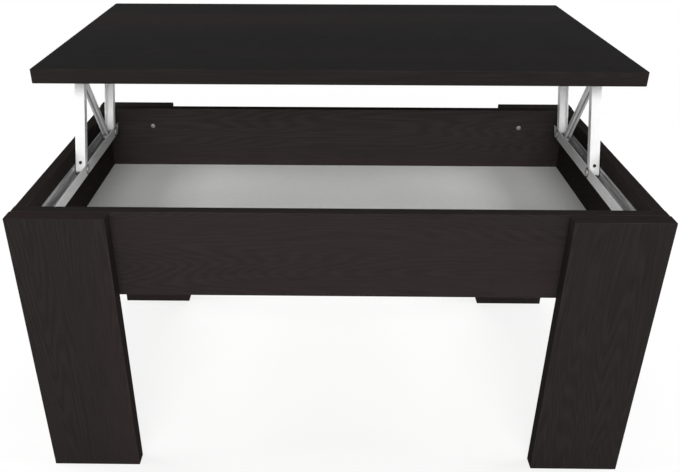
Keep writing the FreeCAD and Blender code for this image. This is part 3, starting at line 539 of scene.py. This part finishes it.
def dark_board(node, board, shift):
    """Wood print along one axis of a board. On the two ends it runs across, as their bands are cut."""
    low, high = (tuple(corner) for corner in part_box(node))
    material, tree, shader, place = new_finish("wood_print_" + node)
    normal = surface_normal(tree)
    at_the_ends = faces_axis(tree, normal, board.grain)
    stretch = vector_between(tree, at_the_ends, GRAIN[board.grain], GRAIN[board.across])
    colour, line, dark_mark, pore = printed_wood(tree, place, stretch, shift)
    toned = painted_light_tone(tree, normal, colour, board)
    edge = use_group(tree, edge_group, Position=place, Low=low, High=high, Width=EDGE_WIDTH)["Edge"]
    marks = use_group(tree, handling_group, Position=place, Size=BOARD_MARK_SIZE)
    # A lighter tone on the edges: partly wear of the print, partly a painted highlight where light would catch
    # the edge.
    worn_and_highlight = calculate(tree, "MULTIPLY", edge, calculate(tree, "MULTIPLY", marks["Smear"], EDGE_WEAR_AND_HIGHLIGHT))
    tree.links.new(colour_between(tree, worn_and_highlight, toned, WENGE_WORN_HIGHLIGHT), shader.inputs["Base Color"])
    smeared = spread(tree, marks["Smear"], 0.0, 1.0, *BOARD_ROUGHNESS)
    roughness = calculate(tree, "MULTIPLY_ADD", pore, PORE_ROUGHNESS, smeared)
    tree.links.new(roughness, shader.inputs["Roughness"])
    shader.inputs["Specular IOR Level"].default_value = BOARD_SHEEN
    relief = calculate(tree, "SUBTRACT", calculate(tree, "MULTIPLY", line, LINE_RELIEF), dark_mark)
    raise_surface(tree, shader, relief, **BOARD_BUMP)
    return material


print("board finish ready, edge wear", EDGE_WIDTH * 1000, "mm wide")

# %% Each board's grain and its painted light
# grain is the axis along the board, across is the grain of its two end bands,
# and face is the axis that its broad faces look along.
# The face and band tints are painted light and shade: they make a board's broad faces and edge bands
# lighter or darker where the lamps light it less or more. The last column paints light on one inner face.
Board = namedtuple("Board", "grain across face face_tint band_tint inside", defaults=[None])
SHIFT_STEP = (0.37, 0.21, 0.53)
# Painted light: the top's face is darker and less red than the other boards. This stands in for a neutral sheen
# and for the stronger light that it gets from above.
TOP_FACE_PAINTED_SHEEN = (0.62, 0.71, 0.72)
# Painted light: the rear wall's inner face lies under the raised top, so its print is made lighter.
REAR_WALL_PAINTED_LIGHT = (TO_THE_FRONT, grey(1.45))
SIDE_PANEL = Board("y", "z", "x", grey(1.10), grey(0.74))
FRONT_LEG = Board("z", "x", "y", grey(0.88), grey(0.72))
# Painted light: the rear legs' faces and tops are lighter, because they lie in the raised top's shade.
REAR_LEG = Board("z", "x", "y", grey(1.1), grey(1.2))
BOARDS = {
    "table_top": Board("x", "y", "z", TOP_FACE_PAINTED_SHEEN, grey(0.88)),
    "front_apron": Board("x", "z", "y", grey(0.93), grey(0.74)),
    "rear_apron": Board("x", "z", "y", grey(0.97), grey(0.74), REAR_WALL_PAINTED_LIGHT),
    "left_side_panel": SIDE_PANEL,
    "right_side_panel": SIDE_PANEL,
    "front_left_leg": FRONT_LEG,
    "front_right_leg": FRONT_LEG,
    "rear_left_leg": REAR_LEG,
    "rear_right_leg": REAR_LEG,
}
for count, (node, board) in enumerate(BOARDS.items()):
    shift = tuple(step * count for step in SHIFT_STEP)
    finish_piece(node, dark_board(node, board, shift))
print("dark boards:", len(BOARDS))

# %% [markdown]
# ## The floor of the box
# The floor is a thin hardboard sheet with a pale painted face, a little mottled, with no grain.
# Such sheets are painted on one face only, so the underside is left as raw brown fibre.
# One material does both: a mask of the faces that look down chooses between paint and fibre.

# %% Pale hardboard finish
PAINT_DARK, PAINT_LIGHT, PAINT_DUSTY = (0.87, 0.87, 0.855), (0.91, 0.91, 0.895), (0.72, 0.71, 0.69)
FIBRE_DARK, FIBRE_LIGHT = (0.16, 0.095, 0.055), (0.25, 0.155, 0.095)
MOTTLE_SCALE, MOTTLE_DETAIL, MOTTLE_ROUGHNESS, MOTTLE_RANGE = 180.0, 5.0, 0.7, (0.3, 0.7)
SHEET_MARK_SIZE = 1.6
SHEET_ROUGHNESS, SHEET_SHEEN = (0.50, 0.62), 0.3
SHEET_BUMP = {"strength": 0.06, "distance": 0.0001}


def pale_hardboard():
    """Mottled pale paint above, raw fibre below."""
    material, tree, shader, place = new_finish("pale_hardboard")
    marks = use_group(tree, handling_group, Position=place, Size=SHEET_MARK_SIZE)
    mottle = noise(tree, place, MOTTLE_SCALE, MOTTLE_DETAIL, MOTTLE_ROUGHNESS)
    mottled = spread(tree, mottle, *MOTTLE_RANGE)
    paint = colour_between(tree, mottled, PAINT_DARK, PAINT_LIGHT)
    dusty = colour_between(tree, marks["Dust"], paint, PAINT_DUSTY)
    fibre = colour_between(tree, mottled, FIBRE_DARK, FIBRE_LIGHT)
    underside = faces_way(tree, surface_normal(tree), DOWNWARD)
    tree.links.new(colour_between(tree, underside, dusty, fibre), shader.inputs["Base Color"])
    tree.links.new(spread(tree, marks["Smear"], 0.0, 1.0, *SHEET_ROUGHNESS), shader.inputs["Roughness"])
    shader.inputs["Specular IOR Level"].default_value = SHEET_SHEEN
    raise_surface(tree, shader, mottle, **SHEET_BUMP)
    return material


finish_piece("bottom_panel", pale_hardboard())
print("floor of the box painted")

# %% [markdown]
# ## Painted arms and zinc rails
# The arms are powder coated white, which leaves a faint orange-peel skin.
# The rear arms get a lighter white, which is painted light: the raised top keeps the lamps from them.
# The rails, stays and lugs are bright zinc, rolled along their length, so they are streaked that way.
# Pins and screws are zinc too, but made from wire, so they have no such streaks.
# The inside of a rail's channel is darker: partly grease and dust that stay there, partly painted shade in the
# recess.
# Both finishes change where a pin turns: the paint wears thin, and the zinc is darker in a ring. Such a mark
# could be painted on each piece by hand.
# Here it is a ring mask round each pivot, whose place is read from the model's own joints.

# %% A ring of rubbing round a pivot
def make_rub_group():
    """A mask round a pivot that runs along X: 1 at the ring, fading to both sides."""
    tree, given, result = new_group(
        "pivot_rub",
        [("Position", "NodeSocketVector", (0, 0, 0)), ("Pivot", "NodeSocketVector", (0, 0, 0)),
         ("Radius", "NodeSocketFloat", 0.006), ("Width", "NodeSocketFloat", 0.002)],
        [("Rub", "NodeSocketFloat")])
    away = calculate_vector(tree, "SUBTRACT", given.outputs["Position"], given.outputs["Pivot"])
    sideways = calculate_vector(tree, "MULTIPLY", away, (0.0, 1.0, 1.0))
    reach = calculate_vector(tree, "LENGTH", sideways)
    off = calculate(tree, "ABSOLUTE", calculate(tree, "SUBTRACT", reach, given.outputs["Radius"]))
    tree.links.new(spread(tree, off, 0.0, given.outputs["Width"], 1.0, 0.0), result.inputs["Rub"])
    return tree


rub_group = make_rub_group()


def rubbed_round(tree, place, pivots, radius, width):
    """The ring masks of one or more pivots together."""
    rings = [use_group(tree, rub_group, Position=place, Pivot=pivot, Radius=radius, Width=width)["Rub"]
             for pivot in pivots]
    strongest = rings[0]
    for ring in rings[1:]:
        strongest = calculate(tree, "MAXIMUM", ring, strongest)
    return strongest


joint_places = {joint["name"]: tuple(joint["pos_m"]) for joint in frame["joints"]}
front_base, front_top = joint_places["lift"], joint_places["top_level"]
rear_base = joint_places["rear_arm_swing"]
rear_top = tuple(Vector(rear_base) + Vector(front_top) - Vector(front_base))
stay_foot = joint_places["stay_foot_swing"]
print("pivots:", {name: tuple(round(v, 4) for v in place) for name, place in joint_places.items()})

# %% White powder coat
PEEL_SCALE, PEEL_DETAIL = 900.0, 2.0
PEEL_BUMP = {"strength": 0.10, "distance": 0.0003}
COAT_MARK_SIZE = 4.0
COAT_ROUGHNESS = (0.30, 0.42)
COAT_RING, COAT_RING_WIDTH = 0.0052, 0.0016
COAT_RUBBED, COAT_RUB_SHARE = grey(0.42), 0.5
FRONT_WHITE = {"clean": 0.80, "handled": 0.77}
# Painted light: the rear arms' white is lighter than the front arms', for the light that the raised top keeps
# from them.
REAR_WHITE_PAINTED_LIGHT = {"clean": 0.88, "handled": 0.86}


def white_paint(name, pivots, clean, handled):
    """Powder coat between a clean and a handled white, rubbed thin round its pivots."""
    material, tree, shader, place = new_finish(name)
    marks = use_group(tree, handling_group, Position=place, Size=COAT_MARK_SIZE)
    tone = colour_between(tree, marks["Smear"], grey(clean), grey(handled))
    ring = rubbed_round(tree, place, pivots, COAT_RING, COAT_RING_WIDTH)
    rub = calculate(tree, "MULTIPLY", ring, calculate(tree, "MULTIPLY", marks["Smear"], COAT_RUB_SHARE))
    tree.links.new(colour_between(tree, rub, tone, COAT_RUBBED), shader.inputs["Base Color"])
    tree.links.new(spread(tree, marks["Smear"], 0.0, 1.0, *COAT_ROUGHNESS), shader.inputs["Roughness"])
    raise_surface(tree, shader, noise(tree, place, PEEL_SCALE, PEEL_DETAIL), **PEEL_BUMP)
    return material


for side in ("left", "right"):
    front_coat = white_paint("white_front_arm_" + side, [front_base, front_top], **FRONT_WHITE)
    rear_coat_painted_light = white_paint("white_rear_arm_" + side, [rear_base, rear_top], **REAR_WHITE_PAINTED_LIGHT)
    finish_piece(side + "_front_arm", front_coat)
    finish_piece(side + "_rear_arm", rear_coat_painted_light)
print("white pieces: front and rear arms, left and right")

# %% Painted shade and grime inside a rail's channel
# Painted shade, with grime: the tones inside a rail's channel.
TROUGH_SHADE_LIGHT, TROUGH_SHADE_DARK = grey(0.72), grey(0.22)
TROUGH_LINES, TROUGH_SHIFT, TROUGH_RANGE = (0.9, 0.015, 0.9), (0.3, 0.1, 0.2), (0.38, 0.62)
NEAR_FLANGE = (0.002, 0.003)
FAR_SKIN = (0.0008, 0.0003)


def trough_shade_mask(tree, place, node):
    """A mask that is 1 inside a rail's channel and 0 on the outer skin of both its flanges: where painted shade
    and grime darken the rail.
    """
    near_face, far_face = sorted(abs(corner[0]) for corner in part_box(node))
    sideways = tree.nodes.new("ShaderNodeSeparateXYZ")
    tree.links.new(place, sideways.inputs[0])
    outward = calculate(tree, "ABSOLUTE", sideways.outputs["X"])
    past_near = spread(tree, outward, *(near_face + depth for depth in NEAR_FLANGE))
    short_of_far = spread(tree, outward, *(far_face - depth for depth in FAR_SKIN), 1.0, 0.0)
    return calculate(tree, "MULTIPLY", past_near, short_of_far)


def with_trough_shade(tree, place, node, tone):
    """A rail's tone, with darker lines along the inside of its channel: painted shade in the recess, and grime.
    """
    lines = use_group(tree, grain_group, Position=place, Stretch=TROUGH_LINES, Shift=TROUGH_SHIFT)["Streak"]
    trough_shade = colour_between(tree, spread(tree, lines, *TROUGH_RANGE), TROUGH_SHADE_DARK, TROUGH_SHADE_LIGHT)
    return colour_between(tree, trough_shade_mask(tree, place, node), tone, trough_shade)


print("channel tools ready")

# %% Bright zinc
ROLLED, UNROLLED = (3.0, 0.05, 3.0), (1, 1, 1)
ZINC_SHIFT, ZINC_RANGE = (0.11, 0.07, 0.19), (0.35, 0.65)
ZINC_MARK_SIZE = 5.0
SPANGLE_SCALE, SPANGLE_SHARE = 700.0, 0.22
ZINC_DUST = 0.4
PIN_RING, PIN_RING_WIDTH = 0.0068, 0.0032
PIVOT_RING_DARK = grey(0.02)
ZINC_ROUGHNESS, STREAK_ROUGHENS = (0.32, 0.42), 0.06
ZINC_BUMP = {"strength": 0.10, "distance": 0.0001}


def along_piece(tree, place, lean):
    """Coordinates turned about X, so that the streaks run along a leaning piece."""
    node = tree.nodes.new("ShaderNodeVectorRotate")
    node.rotation_type = "X_AXIS"
    node.inputs["Angle"].default_value = -lean
    tree.links.new(place, node.inputs["Vector"])
    return node.outputs[0]


def spangle(tree, place):
    """The faint crystals of a zinc coat."""
    node = tree.nodes.new("ShaderNodeTexVoronoi")
    node.inputs["Scale"].default_value = SPANGLE_SCALE
    tree.links.new(place, node.inputs["Vector"])
    return calculate(tree, "MULTIPLY", node.outputs["Distance"], SPANGLE_SHARE)


def bright_zinc(name, stretch, light, dark, mirror=0.4, pivots=(), lean=None, channel=None):
    """Streaked zinc between two tones, with a dark ring round each pivot."""
    material, tree, shader, place = new_finish(name)
    way = along_piece(tree, place, lean) if lean else place
    rolled = use_group(tree, grain_group, Position=way, Stretch=stretch, Shift=ZINC_SHIFT)
    streak = spread(tree, rolled["Streak"], *ZINC_RANGE)
    tone = colour_between(tree, streak, grey(dark), grey(light))
    # Inside a rail's channel: painted shade and grime.
    if channel:
        tone = with_trough_shade(tree, place, channel, tone)
    marks = use_group(tree, handling_group, Position=place, Size=ZINC_MARK_SIZE)
    flake = spangle(tree, place)
    shade = calculate(tree, "MAXIMUM", flake, calculate(tree, "MULTIPLY", marks["Dust"], ZINC_DUST))
    # A darker ring round each pivot.
    if pivots:
        ring = rubbed_round(tree, place, pivots, PIN_RING, PIN_RING_WIDTH)
        shade = calculate(tree, "MAXIMUM", ring, shade)
    tree.links.new(colour_between(tree, shade, tone, PIVOT_RING_DARK), shader.inputs["Base Color"])
    shader.inputs["Metallic"].default_value = mirror
    smeared = spread(tree, marks["Smear"], 0.0, 1.0, *ZINC_ROUGHNESS)
    roughness = calculate(tree, "MULTIPLY_ADD", streak, STREAK_ROUGHENS, smeared)
    tree.links.new(roughness, shader.inputs["Roughness"])
    raise_surface(tree, shader, calculate(tree, "SUBTRACT", streak, flake), **ZINC_BUMP)
    return material


print("zinc finish ready")

# %% Rails, stays and lugs
RAIL_ZINC = {"light": 0.90, "dark": 0.70, "mirror": 0.3}
STAY_ZINC = {"light": 0.84, "dark": 0.66, "mirror": 0.15}
BAR_ZINC = {"light": 0.50, "dark": 0.36}
LUG_ZINC = {"light": 0.80, "dark": 0.60}
RAIL_PIVOTS = {"base_rail": [front_base, rear_base], "top_rail": [front_top, rear_top]}
STAY_LEAN = math.atan2(front_top[2] - stay_foot[2], front_top[1] - stay_foot[1])


def finish_zinc(node, name, **look):
    """Gives one rolled piece its zinc."""
    finish_piece(node, bright_zinc(name, ROLLED, **look))


for side in ("left", "right"):
    for rail, pivots in RAIL_PIVOTS.items():
        node = f"{side}_{rail}"
        finish_zinc(node, "zinc_" + node, pivots=pivots, channel=node, **RAIL_ZINC)
    finish_zinc(side + "_stay_channel", "zinc_stay_" + side, pivots=[stay_foot], lean=STAY_LEAN, **STAY_ZINC)
    finish_zinc(side + "_stay_bar", "zinc_stay_bar_" + side, pivots=[front_top], lean=STAY_LEAN, **BAR_ZINC)
    finish_zinc(side + "_stay_lug", "zinc_stay_lug_" + side, pivots=[stay_foot], **LUG_ZINC)
print("stays lean", round(math.degrees(STAY_LEAN), 1), "degrees")

# %% Pins, studs and hidden screws
PIN_NODES = ("front_base_pins", "rear_base_pins", "front_top_pins", "rear_top_pins", "stay_foot_pins")
TURNED_NODES = ("stay_guide_studs", "corner_screws")
turned_zinc = bright_zinc("zinc_turned", UNROLLED, light=0.34, dark=0.24)
pin_zinc = bright_zinc("zinc_pins", UNROLLED, light=0.56, dark=0.40)
for node in PIN_NODES:
    finish_piece(node, pin_zinc)
for node in TURNED_NODES:
    finish_piece(node, turned_zinc)
print("turned pieces:", len(PIN_NODES) + len(TURNED_NODES))

# %% [markdown]
# ## Beech dowels
# The dowels sit inside the boards and are seen only when the table is taken apart.
# Plain beech has fine straight grain and small brown flecks.
# The grain group gives both, so it serves here too, in other colours.

# %% Beech finish
BEECH_DARK, BEECH_LIGHT, BEECH_FLECK = (0.50, 0.33, 0.19), (0.66, 0.47, 0.30), (0.34, 0.20, 0.11)
BEECH_SHIFT, BEECH_RANGE, BEECH_ROUGHNESS = (0.4, 0.2, 0.1), (0.2, 0.8), (0.55, 0.70)
BEECH_BUMP = {"strength": 0.2, "distance": 0.0003}


def beech():
    """Pale wood with its grain along Y and brown flecks."""
    material, tree, shader, place = new_finish("beech_dowel")
    wood = use_group(tree, grain_group, Position=place, Stretch=GRAIN["y"], Shift=BEECH_SHIFT)
    tone = colour_between(tree, wood["Streak"], BEECH_DARK, BEECH_LIGHT)
    tree.links.new(colour_between(tree, wood["Pore"], tone, BEECH_FLECK), shader.inputs["Base Color"])
    roughness = spread(tree, wood["Streak"], *BEECH_RANGE, *BEECH_ROUGHNESS)
    tree.links.new(roughness, shader.inputs["Roughness"])
    raise_surface(tree, shader, wood["Streak"], **BEECH_BUMP)
    return material


beech_finish = beech()
for node in ("leg_dowels", "corner_dowels"):
    finish_piece(node, beech_finish)
print("dowels finished")

# %% [markdown]
# ## Screws with real heads
# The screws in the model are plain: a round head on a smooth shank.
# A real pan-head screw has a domed head with a cross recess, and a thread.
# A bump in the material could only hint at that, so each screw is built as a mesh:
# a profile turned round an axis, as on a lathe, with a boolean cut by a tapered cross.
# Each one goes where its solid is, which is read from the separate islands of the solid's mesh.

# %% Find each separate solid in a node
SAME_POINT = 1e-6


def solids_of(node):
    """The low and high corners of each separate solid in a node."""
    mesh = bmesh.new()
    mesh.from_mesh(pieces[node].data)
    bmesh.ops.remove_doubles(mesh, verts=mesh.verts, dist=SAME_POINT)
    waiting = set(mesh.verts)
    boxes = []
    while waiting:
        island, to_visit = [], [waiting.pop()]
        while to_visit:
            vert = to_visit.pop()
            island.append(vert.co.copy())
            for edge in vert.link_edges:
                other = edge.other_vert(vert)
                if other in waiting:
                    waiting.remove(other)
                    to_visit.append(other)
        boxes.append([Vector(pick(co[axis] for co in island) for axis in range(3)) for pick in (min, max)])
    mesh.free()
    return sorted(boxes, key=lambda box: tuple(round(v, 4) for v in box[0]))


print("leg screws:", len(solids_of("leg_screws")))

# %% Turn a profile
SAME_TURNED_POINT = 1e-7
TURNING_STEPS = 28


def keep_mesh(name, mesh):
    """Turns the faces of a bmesh outward and keeps it as mesh data."""
    bmesh.ops.recalc_face_normals(mesh, faces=mesh.faces)
    data = bpy.data.meshes.new(name)
    mesh.to_mesh(data)
    mesh.free()
    return data


def turned(name, profile):
    """A closed solid turned round Z from (radius, height) points; the ends lie on the axis."""
    mesh = bmesh.new()
    verts = [mesh.verts.new((radius, 0, height)) for radius, height in profile]
    edges = [mesh.edges.new(pair) for pair in zip(verts, verts[1:])]
    bmesh.ops.spin(mesh, geom=verts + edges, cent=(0, 0, 0), axis=(0, 0, 1),
                   angle=math.tau, steps=TURNING_STEPS)
    bmesh.ops.remove_doubles(mesh, verts=mesh.verts, dist=SAME_TURNED_POINT)
    return keep_mesh(name, mesh)


print("lathe ready,", TURNING_STEPS, "steps a turn")

# %% A screw's outline
# Shares of the head's radius and height, then shares of the shank's radius and of the thread's pitch.
HEAD_OUTLINE = ((0.0, 1.0), (0.55, 0.97), (0.82, 0.82), (0.96, 0.55), (1.0, 0.25), (1.0, 0.0))
NECK, ROOT, PITCH = 0.8, 0.68, 0.75
THREAD_OUTLINE = ((ROOT, 0.15), (ROOT, 0.55), (1.0, 0.75))
POINT_LENGTH, POINT_START = 2.0, 0.2


def screw_outline(head_radius, head_height, shank_radius, length):
    """A pan-head screw from the top of its head to its point: head above z = 0, threaded shank below it."""
    outline = [(head_radius * across, head_height * up) for across, up in HEAD_OUTLINE]
    pitch = shank_radius * PITCH
    outline += [(shank_radius * NECK, 0), (shank_radius * NECK, -pitch)]
    depth = pitch
    while depth + pitch < length - shank_radius * POINT_LENGTH:
        outline += [(shank_radius * across, -depth - pitch * down) for across, down in THREAD_OUTLINE]
        depth += pitch
    return outline + [(shank_radius * ROOT, -depth - pitch * POINT_START), (0, -length)]


print("head outline:", len(HEAD_OUTLINE), "corners")

# %% Cut the cross recess
RECESS_WIDTH, RECESS_REACH, RECESS_DEPTH, RECESS_TAPER = 0.24, 0.62, 0.62, 0.45


def cross_cutter(width, half_length, depth):
    """A cross whose sides taper towards its bottom."""
    mesh = bmesh.new()
    w, r = width / 2, half_length
    outline = [(w, w), (r, w), (r, -w), (w, -w), (w, -r), (-w, -r),
               (-w, -w), (-r, -w), (-r, w), (-w, w), (-w, r), (w, r)]
    above = [mesh.verts.new((x, y, depth)) for x, y in outline]
    below = [mesh.verts.new((x * RECESS_TAPER, y * RECESS_TAPER, -depth)) for x, y in outline]
    mesh.faces.new(above)
    mesh.faces.new(list(reversed(below)))
    for i in range(len(outline)):
        j = (i + 1) % len(outline)
        mesh.faces.new((above[i], below[i], below[j], above[j]))
    return keep_mesh("cross_cutter", mesh)


def screw_mesh(name, head_radius, head_height, shank_radius, length):
    """One turned screw with its recess cut."""
    outline = screw_outline(head_radius, head_height, shank_radius, length)
    body = bpy.data.objects.new(name, turned(name, outline))
    cross = cross_cutter(head_radius * RECESS_WIDTH, head_radius * RECESS_REACH, head_height * RECESS_DEPTH)
    cutter = bpy.data.objects.new("cutter", cross)
    cutter.location.z = head_height
    for thing in (body, cutter):
        bpy.context.scene.collection.objects.link(thing)
    cut = body.modifiers.new("recess", "BOOLEAN")
    cut.operation = "DIFFERENCE"
    cut.solver = "EXACT"
    cut.object = cutter
    shown = body.evaluated_get(bpy.context.evaluated_depsgraph_get())
    data = bpy.data.meshes.new_from_object(shown)
    for thing in (body, cutter):
        bpy.data.objects.remove(thing)
    return data


print("screw tools ready")

# %% Put a screw at each solid
HEAD_HEIGHT = 0.002
LEG_SHANK, RAIL_SHANK = 0.0020, 0.00175
SCREW_TURN = math.radians(37)
X, Y, Z = 0, 1, 2


def fit_screws(node, body, axis, shank_radius, head_way):
    """Replaces a node's plain screws. Each head is at the end of its solid that faces the way given."""
    boxes = solids_of(node)
    low, high = boxes[0]
    across = next(other for other in (X, Y, Z) if other != axis)
    head_radius = (high[across] - low[across]) / 2
    length = (high[axis] - low[axis]) - HEAD_HEIGHT
    pattern = screw_mesh(node, head_radius, HEAD_HEIGHT, shank_radius, length)
    mesh = bmesh.new()
    for count, (low, high) in enumerate(boxes):
        seat = (low + high) / 2
        way = head_way(seat)
        seat[axis] = (high[axis] if way[axis] > 0 else low[axis]) - way[axis] * HEAD_HEIGHT
        aim = Vector(way).to_track_quat("Z", "Y").to_matrix().to_4x4()
        copy = pattern.copy()
        copy.transform(Matrix.Translation(seat) @ aim @ Matrix.Rotation(count * SCREW_TURN, 4, "Z"))
        mesh.from_mesh(copy)
        bpy.data.meshes.remove(copy)
    data = bpy.data.meshes.new(node + "_turned")
    mesh.to_mesh(data)
    mesh.free()
    data.materials.append(turned_zinc)
    piece = bpy.data.objects.new(node + "_turned", data)
    bpy.context.scene.collection.objects.link(piece)
    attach(piece, body)
    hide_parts(node)
    print(piece.name, len(boxes), "screws,", len(data.polygons), "faces")


fit_screws("leg_screws", "frame", Y, LEG_SHANK, lambda seat: (0, -1 if seat.y > 0 else 1, 0))
fit_screws("base_rail_screws", "frame", X, RAIL_SHANK, lambda seat: (-1 if seat.x > 0 else 1, 0, 0))
fit_screws("top_rail_screws", "top", Z, RAIL_SHANK, lambda seat: (0, 0, -1))
